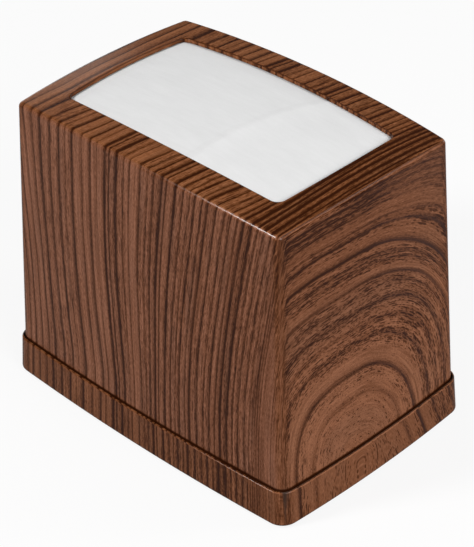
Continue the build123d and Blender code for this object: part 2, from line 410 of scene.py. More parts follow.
# Dark growth lines on the top, front and back: distance across the grain, spread before and after the
# line, and strength
dark_lines = (
    (-96.0, 2.4, 1.0, 0.60),
    (-90.5, 2.2, 1.0, 0.80),
    (-84.0, 2.6, 1.0, 0.60),
    (-77.0, 3.0, 1.2, 0.70),
    (-70.0, 3.4, 1.2, 1.00),
    (-62.0, 3.0, 1.2, 0.75),
    (-55.0, 2.6, 1.2, 0.85),
    (-50.5, 2.0, 0.8, 0.40),
    (-45.0, 3.2, 1.2, 1.00),
    (-38.0, 2.6, 0.8, 0.60),
    (-32.0, 3.0, 1.2, 0.80),
    (-27.5, 2.0, 0.8, 0.45),
    (-21.5, 2.8, 1.6, 1.10),
    (-18.5, 1.2, 0.8, 0.80),
    (-13.5, 2.6, 1.6, 1.10),
    (-8.0, 2.2, 0.7, 0.50),
    (-4.0, 1.8, 0.7, 0.55),
    (3.0, 2.6, 0.9, 0.75),
    (8.0, 2.2, 0.8, 0.55),
    (12.0, 2.4, 0.9, 0.80),
    (17.0, 2.6, 1.2, 1.10),
    (20.0, 1.4, 0.8, 0.75),
    (26.0, 2.8, 1.2, 1.05),
    (31.0, 2.2, 0.9, 0.70),
    (35.0, 1.6, 0.7, 0.55),
    (38.5, 2.2, 0.9, 0.85),
    (43.0, 1.8, 0.8, 0.65),
    (46.5, 2.4, 1.4, 1.10),
    (52.0, 2.2, 0.9, 0.75),
    (57.0, 2.0, 0.9, 0.65),
    (61.0, 2.2, 0.9, 0.80),
    (65.0, 1.6, 0.8, 0.75),
    (68.5, 2.0, 0.9, 1.00),
    (73.0, 2.4, 1.3, 1.20),
    (76.5, 1.6, 0.9, 1.05),
    (80.0, 1.8, 1.1, 1.20),
    (84.0, 1.8, 1.1, 1.15),
    (87.0, 1.0, 0.8, 0.95),
    (89.0, 0.9, 0.5, 0.70),
    (90.4, 0.8, 0.5, 0.85),
    (91.8, 0.8, 0.5, 0.65),
    (93.2, 0.8, 0.5, 0.75),
)

# Dark arches on the ends: distance down from the fold, spread above and below the line, and strength
dark_arches = (
    (2.0, 1.2, 0.7, 0.50),
    (5.0, 1.4, 0.8, 0.70),
    (8.5, 1.4, 0.9, 0.50),
    (12.0, 1.4, 0.9, 0.55),
    (15.5, 1.4, 0.9, 0.40),
    (22.5, 1.5, 0.8, 0.40),
    (26.0, 2.0, 1.0, 0.75),
    (35.2, 3.0, 1.2, 1.00),
    (40.0, 1.5, 4.0, 0.30),
    (44.5, 2.0, 1.0, 0.30),
    (52.8, 2.5, 1.2, 0.70),
    (58.0, 2.5, 2.5, 0.25),
    (66.5, 3.0, 2.5, 0.40),
    (75.0, 3.0, 3.0, 0.25),
    (83.5, 3.0, 2.0, 0.45),
    (98.3, 3.5, 1.6, 0.85),
    (112.0, 4.0, 2.5, 0.30),
)

# Broad dark zones: distance across the grain, spread to each side, and strength
dark_zones = (
    (-70.0, 9.0, 0.08),
    (-17.0, 9.0, 0.08),
    (18.0, 8.0, 0.10),
    (48.0, 6.0, 0.08),
    (69.0, 9.0, 0.22),
    (91.0, 4.5, 0.45),
    (95.6, 2.5, 0.22),
)

# Zones with many pores: distance across the grain, spread to each side, and share of places filled
front_pores = (
    (-60.0, 20.0, 0.50),
    (-14.0, 10.0, 0.80),
    (10.0, 10.0, 0.80),
    (33.0, 14.0, 0.90),
    (55.0, 10.0, 0.80),
    (78.0, 14.0, 0.80),
)

# The same on the ends, by the distance down from the fold
end_pores = (
    (8.0, 10.0, 1.00),
    (26.0, 5.0, 0.60),
    (42.0, 7.0, 1.00),
    (58.0, 6.0, 0.85),
    (67.0, 6.0, 1.10),
    (76.0, 6.0, 0.80),
    (84.0, 6.0, 1.10),
    (102.0, 5.0, 0.50),
    (128.0, 22.0, 0.30),
)

wood_light = (0.330, 0.136, 0.076, 1.0)
wood_mid = (0.192, 0.070, 0.033, 1.0)
wood_deep = (0.085, 0.026, 0.009, 1.0)
wood_dark = (0.034, 0.008, 0.002, 1.0)
wood_grey = (0.150, 0.080, 0.056, 1.0)
wood_plum = (0.060, 0.030, 0.029, 1.0)
bare_plastic = (0.050, 0.026, 0.017, 1.0)
warm_tint = (1.0, 0.94, 0.70, 1.0)
wood_stops = ((0.0, wood_light), (0.32, wood_mid), (0.66, wood_deep), (1.0, wood_dark))


def stripe(place, at, before, after):
    """1 on a line, falling to 0 at a distance before and after it."""
    off = place - at
    return (1 - (off / after).at_least(off / -before)).at_least(0)


def arch_fold(position, sway):
    """Distance down from the fold to the arch through a point, and the distance along that arch."""
    _, y, z = position
    aside = y - arch_middle - (foot_height - z).at_least(0) * y.rise(*rim_run_y) * rim_run
    outward = abs(aside) / arch_narrow
    upward = (((z - arch_foot).at_least(0) + sway * arch_sway) ** 2 + arch_soft ** 2).math("SQRT")
    plain_reach = (outward ** plain_power + upward ** plain_power) ** (1 / plain_power)
    gain = plain_reach.rise(*high_arches) * high_power
    gain = gain + stripe(plain_reach, middle_arch, middle_spread, middle_spread) * middle_power + back_power
    power = front_power + gain * aside.math("GREATER_THAN", 0.0)
    reach = (outward ** power + upward ** power) ** (1 / power)
    turn = (aside / arch_narrow).math("ARCTAN2", upward)
    return arch_crown - reach, turn * arch_radian


def front_stripes(position, sway):
    """How the stripes of the front and back lean out, and how far they wander across the grain."""
    x, _, z = position
    lean = ((x - lean_middle) / lean_width).math("TANH") * lean_swing + lean_level
    lean = lean + x * lean_growth - x.rise(*lean_left) * lean_left_loss
    bow = ((film_top - z) * (math.pi / bow_height)).math("SINE").at_least(0)
    bow = bow * x.rise(*bow_right) * x.rise(*bow_left)
    return lean, bow * bow_depth + sway * front_sway


def film_places(tree, position, normal):
    """Where a point lies on the film.

    Gives distances across and along the grain, the same for the fine grain of an end's arches, and the
    distance across the steep streaks by a corner. Then come the shares of arches, corner, top, rim and
    window in it.
    """
    x, y, z = position
    in_window = abs(x).rise(*window_x) * abs(y).rise(*window_y) * z.rise(*window_z)
    on_end = abs(normal[0]).rise(*facing) * (1 - in_window)
    on_front = abs(normal[1]).rise(*facing)
    on_top = abs(normal[2]).rise(*facing)
    on_rim = z.rise(foot_height + rim_step, foot_height)
    sway = speckle(tree, x / sway_width, y / sway_width, z / sway_height, detail=1.0) - 0.5
    fold, turn = arch_fold(position, sway)
    # Round a corner the stripes of the front and back run on before they bend
    widening = (film_top - z) * film_taper
    from_corner = (widening + front_top - abs(y)).at_least(0)
    from_side = (widening + film_half - abs(x)).at_least(0)
    past_corner = (from_corner / corner_width).math("TANH") * corner_turn
    by_corner = from_corner.rise(*end_corner) * on_end
    by_corner = by_corner.at_least(from_side.rise(*front_corner) * on_front)
    side = x.math("SIGN")
    spread = film_half / (film_half - front_inset + widening.at_least(0))
    stretched = (x * spread).towards(side * (past_corner + film_half), on_end)
    on_left = x.rise(*frame_left)
    slant = on_left * slant_left + (1 - on_left) * x.rise(*frame_right) * slant_front
    slant = slant * (y + front_top).at_most(frame_depth) * on_top
    lean, wander = front_stripes(position, sway)
    lean = lean.towards(side, on_end)
    return SimpleNamespace(
        across=stretched + lean * fold * end_share + wander * (1 - on_end) - slant,
        along=z.towards(y, on_top),
        arch_across=side * (film_half + fold),
        arch_along=turn.towards(z, on_rim),
        steep=from_corner - from_side + fold * steep_share,
        arched=on_end * from_corner.rise(*arch_begin),
        cornered=by_corner,
        on_top=on_top,
        on_rim=on_rim,
        in_window=in_window,
    )


def fold_distance(across):
    """Distance down an end from the fold, from the distance across the grain."""
    return (abs(across) - film_half - corner_turn) / end_share


def line_strength(across):
    """How dark the growth lines are at a distance across the grain."""
    total = None
    for at, before, after, strength in dark_lines:
        line = stripe(across, at, before, after) ** line_power * strength
        total = line if total is None else total.at_least(line)
    fold = fold_distance(across)
    for at, before, after, strength in dark_arches:
        total = total.at_least(stripe(fold, at, before, after) ** arch_line_power * strength)
    for at, spread, strength in dark_zones:
        total = total + stripe(across, at, spread, spread) * strength
    return total


def zone_share(place, zones):
    """The strongest of some zones at a place."""
    total = None
    for at, spread, strength in zones:
        zone = (stripe(place, at, spread, spread) * (2 * strength)).at_most(strength)
        total = zone if total is None else total.at_least(zone)
    return total


def dashes(tree, across, along, size, share):
    """Short dashes along the grain, one in each cell of a size, in a share of the cells."""
    joined = tree.nodes.new("ShaderNodeCombineXYZ")
    plug(joined.inputs[0], across / size[0])
    plug(joined.inputs[1], along / size[1])
    node = tree.nodes.new("ShaderNodeTexVoronoi")
    node.voronoi_dimensions = "2D"
    node.inputs["Scale"].default_value = 1.0
    tree.links.new(joined.outputs[0], node.inputs["Vector"])
    chance = split(tree, node.outputs["Color"])[0]
    return Field(tree, node.outputs["Distance"]).rise(*dash_edge) * (share - chance).rise(*dash_chance)


def grain_noise(tree, across, along, size, layer, **settings):
    """Noise that is drawn out along the grain, with its size across and along it."""
    return speckle(tree, across / size[0], along / size[1], layer, **settings)


def fine_grain(tree, across, along, pore_share):
    """Streaks, hairs, grit and pores at distances across and along the grain."""
    streaks = grain_noise(tree, across, along, streak_size, 3.0, detail=3.0, roughness=0.6)
    hairs = grain_noise(tree, across, along, hair_size, 7.0)
    grit = grain_noise(tree, across, along, grit_size, 9.0, roughness=0.6)
    short_share = pore_share * short_pore_fill + short_pore_least
    short_pores = dashes(tree, across, along, short_pore_size, short_share)
    beside, beyond = across + pore_offset[0], along + pore_offset[1]
    long_pores = dashes(tree, beside, beyond, long_pore_size, pore_share * long_pore_fill)
    pores = (short_pores * short_pore_share).at_least(long_pores * long_pore_share)
    return streaks, hairs, grit, pores


def film_grain(tree, position, film):
    """The growth lines and the fine grain at a point of the film."""
    _, y, z = position
    across, arched, on_top, on_rim = film.across, film.arched, film.on_top, film.on_rim
    # The ends are bold high up towards the front, calm there towards the back, and fibrous lower down
    high_up = arched * z.rise(*end_high)
    calm = high_up * y.rise(*end_back)
    fibrous = arched * z.rise(*end_low) * y.rise(*end_far_back)
    flat_grain = fine_grain(tree, across, film.along, zone_share(across, front_pores))
    arch_pores = zone_share(fold_distance(across), end_pores)
    arch_grain = fine_grain(tree, film.arch_across, film.arch_along, arch_pores)
    both = zip(flat_grain, arch_grain)
    streaks, hairs, grit, pores = (flat.towards(arch, arched) for flat, arch in both)
    fibres = (streaks - 0.5) * streak_share + (hairs - 0.5) * hair_share
    fibres = fibres * (1 + fibrous * fibrous_gain - calm * calm_fibre_loss)
    fibres = fibres * (1 - on_rim * arched * rim_fibre_loss)
    pores = pores * (arched * end_pore_gain + pore_level) * (1 - calm * calm_pore_loss)
    # Past the last dark group the lines are bold on the top only
    past_group = across.rise(*last_group)
    bold = 1 + on_top * (top_line_gain + past_group * group_line_gain)
    bold = bold - past_group * (1 - on_top) * (1 - arched) * group_line_loss
    patchy = grain_noise(tree, across, film.along, patch_size, 0.0)
    lines = line_strength(across) * (patch_level + patchy) * bold
    lines = lines * (1 - on_rim * film.cornered * rim_corner_line_loss)
    lines = lines * (1 + high_up * high_line_gain - calm * calm_line_loss)
    return SimpleNamespace(lines=lines, fibres=fibres, pores=pores, streaks=streaks, hairs=hairs, grit=grit)


def film_folds(position, normal, film):
    """The shares of the fold round the top and of the window's lip in a point."""
    x = position[0]
    slope_x, slope_y = abs(normal[0]), abs(normal[1])
    folded = slope_x.at_least(slope_y * x.rise(*fold_right)) * normal[2]
    lip = slope_x.at_least(slope_y) * normal[2]
    return folded.rise(*fold_turn) * (1 - film.in_window), lip.rise(*lip_turn) * film.in_window


def film_shade(tree, position, film, folded, lip):
    """How much darker than its grain the film is at a point.

    The top's frame is light by the window on the left and dark on the right. The ends are darker towards
    the top and by the corners. Painted highlights lighten the film where it folds down from the top's edges
    and just below the fold on the ends, and painted shade darkens it where it folds into the window.
    """
    _, y, z = position
    across, arched = film.across, film.arched
    frame_shade = across.rise(*last_group) * dark_right_frame + across.rise(*left_frame) * dark_left_frame
    on_stripe = stripe(across, left_stripe, left_stripe_spread, left_stripe_spread)
    frame_shade = frame_shade - on_stripe * light_stripe
    below_fold = fold_height - (y / fold_bow) ** 2 - z
    end_shade = (z.rise(*end_rise) - end_rise_level) * dark_end
    # Painted highlight: a light band just below the fold on the ends
    end_shade = end_shade - below_fold.rise(*fold_light) * y.rise(*end_front) * painted_light_below_fold
    streaks = grain_noise(tree, film.steep, z, steep_size, 13.0) - 0.5
    corner_shade = film.cornered * (dark_corner + streaks * dark_corner_streak)
    rim_shade = film.on_rim * (dark_rim - arched * light_end_rim)
    # Painted shade on the window's lip and painted highlight on the fold round the top
    painted_fold_light = lip * painted_lip_shade - folded * painted_fold_highlight
    return frame_shade * film.on_top + end_shade * arched + corner_shade + rim_shade + painted_fold_light


def film_colour(tree, position, film, dark, lines):
    """The film's colour, from the darkness of its print and from its growth lines."""
    y = position[1]
    colour = graded(tree, dark, wood_stops)
    greyness = grain_noise(tree, film.across, film.along, grey_size, 21.0).rise(*grey_noise) * grey_share
    colour = blend_colours(tree, greyness * (1 - dark), colour, wood_grey)
    plum = lines * film.arched * y.rise(*end_plum) * plum_share
    colour = blend_colours(tree, plum, colour, wood_plum)
    warmth = film.on_top.at_least(film.in_window)
    warmth = warmth.at_least(film.on_rim.at_least(film.cornered) * warm_corner)
    return blend_colours(tree, warmth.at_least(film.arched * warm_end), colour, warm_tint, "MULTIPLY")


def bare_share(position, normal, film, is_cover):
    """Where the plastic is bare: inside the mouldings, under them, and on the cover's foot."""
    x, y, z = position
    inward = (normal[0] * x + normal[1] * y * inward_y).rise(*inward_turn) * (1 - film.in_window)
    bare = inward.at_least(normal[2].rise(*downward))
    if is_cover:
        return bare.at_least(1 - z.rise(*joint_foot))
    reach_x = abs(x) / rim_half_x + (y / rim_chord_y) ** 2 * rim_bow_x
    reach_y = abs(y) / rim_half_y + (x / rim_chord_x) ** 2 * rim_bow_y
    return bare.at_least(reach_x.at_least(reach_y).rise(*rim_inside))


def wood_print(name, is_cover):
    """The wood-grain film, bare plastic inside, and painted shade in the joint above the tray's rim."""
    material, tree, shader = new_material(name, roughness=0.2, specular=film_gloss)
    position, normal = surface(tree)
    x, y, z = position
    film = film_places(tree, position, normal)
    grain = film_grain(tree, position, film)
    folded, lip = film_folds(position, normal, film)
    dark = grain.lines * line_share + grain.fibres + (grain.grit - 0.5) * grit_share + ground_share
    dark = dark + film_shade(tree, position, film, folded, lip) + grain.pores
    dark = dark.at_least(0).at_most(1)
    bare = bare_share(position, normal, film, is_cover)
    colour = film_colour(tree, position, film, dark, grain.lines)
    colour = blend_colours(tree, bare, colour, bare_plastic)
    if is_cover:
        # Painted shade of the gap between cover and tray: the cover's foot is darkened just above the rim
        joint = z.rise(*joint_foot) * z.rise(*joint_top)
        colour = blend_colours(tree, joint * joint_painted_shade, colour, wood_dark)
    gloss = film_gloss + folded * x.rise(*gloss_x) * y.rise(*gloss_y) * fold_gloss
    roughness = film_roughness + grain.streaks * streak_roughness + bare * bare_roughness
    plug(shader.inputs["Base Color"], colour)
    plug(shader.inputs["Roughness"], roughness)
    plug(shader.inputs["Specular IOR Level"], gloss)
    relief = (dark * dark_relief + grain.hairs * hair_relief) * (1 - bare)
    emboss(tree, shader, relief, film_relief)
    return material


# Edge of the top napkin's folded leaf, in millimetres: a curve across the napkin
flap_edge_x = 16.0
flap_edge_bow = 7.5
flap_edge_slant = 7.5
flap_reach = 52.5  # half the napkin's width


def flap_edge(y):
    """Where the folded leaf ends along X at a place along Y, for numbers and for fields."""
    share = y / flap_reach
    return share * share * flap_edge_bow + share * flap_edge_slant + flap_edge_x


# Colours of the other materials, as the darkest and the lightest
paper_colours = ((0.72, 0.72, 0.72, 1.0), (0.85, 0.85, 0.85, 1.0))
plastic_colours = ((0.66, 0.64, 0.58, 1.0), (0.74, 0.73, 0.68, 1.0))
wire_colours = ((0.42, 0.41, 0.40, 1.0), (0.52, 0.50, 0.47, 1.0))
rubber_colours = ((0.012, 0.012, 0.012, 1.0), (0.045, 0.043, 0.040, 1.0))
clamp_lightness = 0.62
screw_lightness = 0.52

# Their features, in millimetres along X, Y and Z
paper_fibre = (1.6, 0.5, 0.5)
paper_cloud = (22.0, 8.0, 30.0)
plastic_grain = (0.5, 0.5, 0.5)
plastic_cloud = (40.0, 40.0, 40.0)
wire_mark = (1.5, 1.5, 0.12)
wire_temper = (18.0, 18.0, 12.0)
zinc_cloud = (3.0, 3.0, 3.0)
zinc_scratch = (6.0, 0.3, 0.3)
rubber_dust = (2.5, 2.5, 2.5)

# Depth of their relief
paper_relief = 0.15
plastic_relief = 0.03
wire_relief = 0.01
zinc_relief = 0.008
rubber_relief = 0.04

# A painted band of light past the folded leaf's edge, where its bulge faces the lamps, by the distance past
# that edge
leaf_light_begin = (-4.0, 3.0)
leaf_light_fade = (4.0, 18.0)
leaf_light_loss = 0.6
leaf_light_stray = 6.0  # how far the paper's clouds shift that edge


def features(tree, position, size, **settings):
    """Noise with features of a size along X, Y and Z."""
    x, y, z = (place / length for place, length in zip(position, size))
    return speckle(tree, x, y, z, **settings)


def napkin_paper():
    """Soft tissue with faint streaks and fibres, and a painted band of light past the folded leaf's edge.
    """
    material, tree, shader = new_material("napkin_paper", roughness=0.9, specular=0.15)
    position, _ = surface(tree)
    x, y, _ = position
    fibres = features(tree, position, paper_fibre, detail=3.0, roughness=0.65)
    cloud = features(tree, position, paper_cloud)
    streaks = speckle(tree, x / 16 + y / 40, y / 2.2, 3.0, detail=3.0)
    # Painted light: the paper is brighter past the folded leaf's edge, for the bulge that faces the lamps
    past_edge = x - flap_edge(y) + (cloud - 0.5) * leaf_light_stray
    leaf_light = past_edge.rise(*leaf_light_begin) * (1 - past_edge.rise(*leaf_light_fade) * leaf_light_loss)
    shade = 0.42 + (fibres - 0.5) * 0.35 + (cloud - 0.5) * 0.5 + (streaks - 0.5) * 0.4 + leaf_light * 0.2
    paint(tree, shader, shade.at_least(0).at_most(1), paper_colours)
    shader.inputs["Sheen Weight"].default_value = 0.15
    shader.inputs["Sheen Roughness"].default_value = 0.6
    emboss(tree, shader, fibres * 0.4 + cloud * 0.8 + streaks * 0.5, paper_relief)
    return material


def moulded_plastic():
    """Natural white plastic with a fine spark-eroded grain."""
    material, tree, shader = new_material("plate_plastic", roughness=0.45, specular=0.4)
    position, _ = surface(tree)
    grain = features(tree, position, plastic_grain, detail=3.0)
    cloud = features(tree, position, plastic_cloud)
    paint(tree, shader, cloud, plastic_colours)
    plug(shader.inputs["Roughness"], 0.38 + grain * 0.16)
    emboss(tree, shader, grain, plastic_relief)
    return material


def drawn_wire():
    """Spring wire: fine draw marks along the coil and a faint brown temper."""
    material, tree, shader = new_material("spring_wire", roughness=0.3, metallic=1.0)
    position, _ = surface(tree)
    marks = features(tree, position, wire_mark, detail=3.0)
    temper = features(tree, position, wire_temper)
    paint(tree, shader, temper, wire_colours)
    plug(shader.inputs["Roughness"], 0.22 + marks * 0.22)
    emboss(tree, shader, marks, wire_relief)
    return material


def zinc_plate(name, lightness):
    """Zinc-plated steel with a cloudy spangle."""
    material, tree, shader = new_material(name, roughness=0.35, metallic=1.0)
    position, _ = surface(tree)
    cloud = features(tree, position, zinc_cloud, detail=3.0)
    scratch = features(tree, position, zinc_scratch)
    low = (lightness * 0.82, lightness * 0.82, lightness * 0.84, 1.0)
    high = (lightness, lightness, lightness * 0.98, 1.0)
    paint(tree, shader, cloud, (low, high))
    plug(shader.inputs["Roughness"], 0.26 + scratch * 0.2 + cloud * 0.1)
    emboss(tree, shader, scratch, zinc_relief)
    return material


def foot_rubber():
    """Black rubber, dusty where it is touched."""
    material, tree, shader = new_material("foot_rubber", roughness=0.75, specular=0.3)
    position, _ = surface(tree)
    dust = features(tree, position, rubber_dust, detail=4.0, roughness=0.7)
    paint(tree, shader, dust, rubber_colours)
    plug(shader.inputs["Roughness"], 0.62 + dust * 0.25)
    emboss(tree, shader, dust, rubber_relief)
    return material


def dress(name, material):
    """Give a CAD node one material."""
    mesh = nodes[name].data
    mesh.materials.clear()
    mesh.materials.append(material)


def new_piece(name, mesh_builder, material, body, slot, *replaced):
    """Turn a bmesh into a piece that rides on a body and stands for CAD nodes."""
    mesh = bpy.data.meshes.new(name)
    bmesh.ops.recalc_face_normals(mesh_builder, faces=mesh_builder.faces)
    mesh_builder.to_mesh(mesh)
    mesh_builder.free()
    mesh.materials.append(material)
    for polygon in mesh.polygons:
        polygon.use_smooth = True
    piece = bpy.data.objects.new(name, mesh)
    bpy.context.scene.collection.objects.link(piece)
    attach(piece, body)
    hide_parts(*replaced)
    return piece


def crown_drop(x, y):
    """How far the crowned top lies below its middle."""
    fall = crown_fall[0] * (x / crown_half[0]) ** 2 + crown_fall[1] * (y / crown_half[1]) ** 2
    swell = (1 - (x / swell_half[0]) ** 2) * (1 - (y / swell_half[1]) ** 2)
    return fall + crown_swell * (1 - swell)


# Stack of napkins
leaf_count = 44
leaf_steps = 20  # steps along each straight side
leaf_corner = 3.0 * MM
corner_steps = 4
leaf_stray = 0.35 * MM  # how far leaves lie from their place
leaf_round = 0.45 * MM  # how far a fold draws in at its edges
leaf_seed = 7
edge_waves = 40.0  # waves per metre round a leaf's edge
leaf_apart = 3.7  # distance between two leaves in the noise of those waves
fill_shares = (0.66, 0.33)  # sizes of the rings that fill a leaf's faces

# Rings round a leaf from its underside up: share of its thickness, and share of leaf_round that it draws in
leaf_rings = ((0.04, 1.0), (0.2, 0.3), (0.5, 0.0), (0.8, 0.3), (0.96, 1.0))


def rounded_outline(half_x, half_y, corner, steps):
    """Points round a rectangle with rounded corners, anticlockwise."""
    points = []
    ways = ((1, -1), (1, 1), (-1, 1), (-1, -1))
    for number, (sx, sy) in enumerate(ways):
        centre = Vector((sx * (half_x - corner), sy * (half_y - corner)))
        for step in range(corner_steps + 1):
            angle = math.radians(90 * (number - 1 + step / corner_steps))
            points.append(centre + Vector((math.cos(angle), math.sin(angle))) * corner)
        start = points[-1]
        nx, ny = ways[(number + 1) % len(ways)]
        following = Vector((nx * (half_x - corner), ny * (half_y - corner)))
        angle = math.radians(90 * number)
        end = following + Vector((math.cos(angle), math.sin(angle))) * corner
        for step in range(1, steps):
            points.append(start.lerp(end, step / steps))
    return points


def add_ring(builder, points):
    """New vertices at some points."""
    return [builder.verts.new(point) for point in points]


def join_rings(builder, low, high):
    """A band of faces between two rings of as many vertices."""
    count = len(low)
    for index in range(count):
        after = (index + 1) % count
        builder.faces.new((low[index], low[after], high[after], high[index]))


def close_ring(builder, ring, height_at):
    """Fill a ring with smaller rings and a middle point, on a surface."""
    outer = ring
    for share in fill_shares:
        points = []
        for vertex in ring:
            x, y = vertex.co.x * share, vertex.co.y * share
            points.append((x, y, height_at(x, y)))
        inner = add_ring(builder, points)
        join_rings(builder, outer, inner)
        outer = inner
    middle = builder.verts.new((0, 0, height_at(0, 0)))
    for index in range(len(outer)):
        builder.faces.new((outer[index], outer[(index + 1) % len(outer)], middle))


def build_stack(material):
    """Folded leaves with round edges, each a little out of place, under the crown's form."""
    low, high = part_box("napkin_stack")
    draw = random.Random(leaf_seed)
    builder = bmesh.new()
    outline = rounded_outline(high.x - leaf_stray, high.y - leaf_stray, leaf_corner, leaf_steps)

    def height(x, y, share):
        return low.z + share * (high.z - crown_drop(x, y) - low.z)

    for leaf in range(leaf_count):
        shift = Vector((draw.uniform(-1, 1), draw.uniform(-1, 1))) * leaf_stray
        rings = []
        shares = [(leaf + part) / leaf_count for part, _ in leaf_rings]
        for share, (_, inset) in zip(shares, leaf_rings):
            points = []
            for point in outline:
                wave = noise.noise(Vector((point.x * edge_waves, point.y * edge_waves, leaf * leaf_apart)))
                drawn_in = point * (1 - inset * leaf_round / high.y)
                flat = drawn_in + shift + point.normalized() * wave * leaf_round
                points.append(Vector((flat.x, flat.y, height(flat.x, flat.y, share))))
            rings.append(add_ring(builder, points))
        for lower, upper in zip(rings, rings[1:]):
            join_rings(builder, lower, upper)
        close_ring(builder, rings[0], lambda x, y: height(x, y, shares[0]))
        close_ring(builder, rings[-1], lambda x, y: height(x, y, shares[-1]))
    new_piece("napkin_leaves", builder, material, "lift_plate", "napkin", "napkin_stack")


# Top napkin. A pair of lengths says where a change begins and where it is complete.
window_half_x = 69.7 * MM
window_half_y = 39.2 * MM
window_bow_x = 1.4 * MM
window_bow_y = 2.3 * MM
top_thickness = 0.8 * MM
top_columns = 170
top_rows = 110
swell_height = 0.9 * MM  # how far the napkins swell up into the window
swell_edge_share = 0.7  # share of it that lies close to the window's edge
swell_edge = (-0.3 * MM, 1.6 * MM)
swell_middle = (0.0, 12.0 * MM)
flap_height = 0.3 * MM
flap_slope = (-3.5 * MM, 2.5 * MM)
flap_wander = 0.8 * MM  # how far the folded leaf's edge strays from its curve
flap_waves = 120.0  # waves per metre along that edge
lip_height = 0.2 * MM
lip_end = (1.0 * MM, 14.0 * MM)
crease_edge = (-1.0 * MM, 3.0 * MM)
crease_depth = 0.14 * MM
crease_waves = (18.0, 75.0)  # per metre along X and Y
ripple_depth = 0.05 * MM
ripple_waves = (60.0, 160.0)


def smooth(low, high, value):
    """A smooth step from 0 at low to 1 at high."""
    share = min(max((value - low) / (high - low), 0), 1)
    return share * share * (3 - 2 * share)


def window_inset(x, y):
    """How far a point lies inside the window's outline, less than 0 outside it."""
    reach_x = window_half_x + window_bow_x * (1 - (y / window_half_y) ** 2)
    reach_y = window_half_y + window_bow_y * (1 - (x / window_half_x) ** 2)
    return min(reach_x - abs(x), reach_y - abs(y))


def napkin_relief(x, y):
    """Height of the top napkin over the crown: its swell, the folded leaf's edge and its creases."""
    inset = window_inset(x, y)
    swell = swell_edge_share * smooth(*swell_edge, inset)
    swell += (1 - swell_edge_share) * smooth(*swell_middle, inset)
    wander = noise.noise(Vector((2.0, y * flap_waves, 9.1))) * flap_wander
    past_edge = x - flap_edge(y / MM) * MM + wander
    over = smooth(*flap_slope, past_edge)
    lip = lip_height * over * (1 - smooth(*lip_end, past_edge))
    crease_place = Vector((x * crease_waves[0], y * crease_waves[1], 0.4))
    creases = noise.fractal(crease_place, 0.9, 2.1, 4) * crease_depth
    ripples = noise.noise(Vector((x * ripple_waves[0], y * ripple_waves[1], 4.2))) * ripple_depth
    inside = smooth(*crease_edge, inset)
    return swell_height * swell + (lip + creases + ripples) * inside - flap_height * (1 - over)


def build_top_napkin(material):
    """The napkin in the window: a sheet with its relief above and the crown's form below."""
    _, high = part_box("top_napkin")
    crest = high.z + crown_drop(flap_edge_x * MM, 0)
    builder = bmesh.new()
    grids = []
    for lower in (True, False):
        grid = []
        for row in range(top_rows + 1):
            y = high.y * (2 * row / top_rows - 1)
            line = []
            for column in range(top_columns + 1):
                x = high.x * (2 * column / top_columns - 1)
                relief = -flap_height - top_thickness if lower else napkin_relief(x, y)
                line.append(builder.verts.new((x, y, crest - crown_drop(x, y) + relief)))
            grid.append(line)
        grids.append(grid)
    borders = []
    for grid in grids:
        for near, far in zip(grid, grid[1:]):
            for column in range(top_columns):
                builder.faces.new((near[column], near[column + 1], far[column + 1], far[column]))
        border = grid[0][:-1] + [line[-1] for line in grid[:-1]]
        border += grid[-1][:0:-1] + [line[0] for line in grid[:0:-1]]
        borders.append(border)
    join_rings(builder, *borders)
    new_piece("napkin_top_leaf", builder, material, "lift_plate", "napkin", "top_napkin")


# Springs
wire_radius = 0.75 * MM
coil_radius_foot = 32.0 * MM
coil_radius_top = 17.0 * MM
coil_turns = 7.62
flat_turns = 0.62  # turns that lie flat at each end
ease_turns = 0.2  # turns over which the coil begins to climb
lead_turns = 0.06  # where the wire starts, before the X axis
slope_turns = 0.001  # turns each way over which the wire's direction is measured
rings_per_turn = 48
wire_sides = 10


def coil_climb(share, ease):
    """Share of the coil's height at a share of its open turns, eased at both ends."""
    rate = 1 / (1 - ease)
    if share <= 0:
        return 0.0
    if share < ease:
        return rate * share * share / (2 * ease)
    if share <= 1 - ease:
        return rate * (share - ease / 2)
    return 1 - coil_climb(1 - share, ease)


def build_spring(side, material):
    """One conical spring of round wire, riding on the base, with a mesh of its own."""
    low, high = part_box(f"spring_{side}")
    clamp_low, clamp_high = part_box(f"base_clamp_{side}")
    axis_x = (clamp_low.x + clamp_high.x) / 2
    bottom = low.z + wire_radius
    climb = high.z - low.z - 2 * wire_radius
    open_turns = coil_turns - 2 * flat_turns

    def middle(turn):
        share = min(max((turn - flat_turns) / open_turns, 0), 1)
        radius = coil_radius_foot + share * (coil_radius_top - coil_radius_foot)
        angle = 2 * math.pi * (turn - lead_turns)
        height = bottom + climb * coil_climb(share, ease_turns / open_turns)
        return Vector((axis_x + radius * math.cos(angle), radius * math.sin(angle), height))

    builder = bmesh.new()
    count = math.ceil(coil_turns * rings_per_turn)
    rings = []
    for number in range(count + 1):
        turn = coil_turns * number / count
        way = (middle(turn + slope_turns) - middle(turn - slope_turns)).normalized()
        outward = way.cross(Vector((0, 0, 1))).normalized()
        upward = outward.cross(way)
        points = []
        for step in range(wire_sides):
            angle = 2 * math.pi * step / wire_sides
            around = outward * math.cos(angle) + upward * math.sin(angle)
            points.append(middle(turn) + around * wire_radius)
        rings.append(add_ring(builder, points))
    for lower, upper in zip(rings, rings[1:]):
        join_rings(builder, lower, upper)
    builder.faces.new(rings[0])
    builder.faces.new(rings[-1])
    spring = new_piece(f"coil_{side}", builder, material, "base", "spring_wire", f"spring_{side}")
    travel = -joints["plate_lift"]["range_m"][0]
    keep = 1 - travel / (high.z - low.z)
    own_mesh(spring)


# Stage
floor_half = 4.0
floor_lit = (0.45, 0.45, 0.45, 1.0)  # the floor that light bounces off
floor_seen = (0.90, 0.90, 0.90, 1.0)  # and the one that the camera sees
floor_glow = 0.86  # share of its own light in what the camera sees
world_light = 0.10

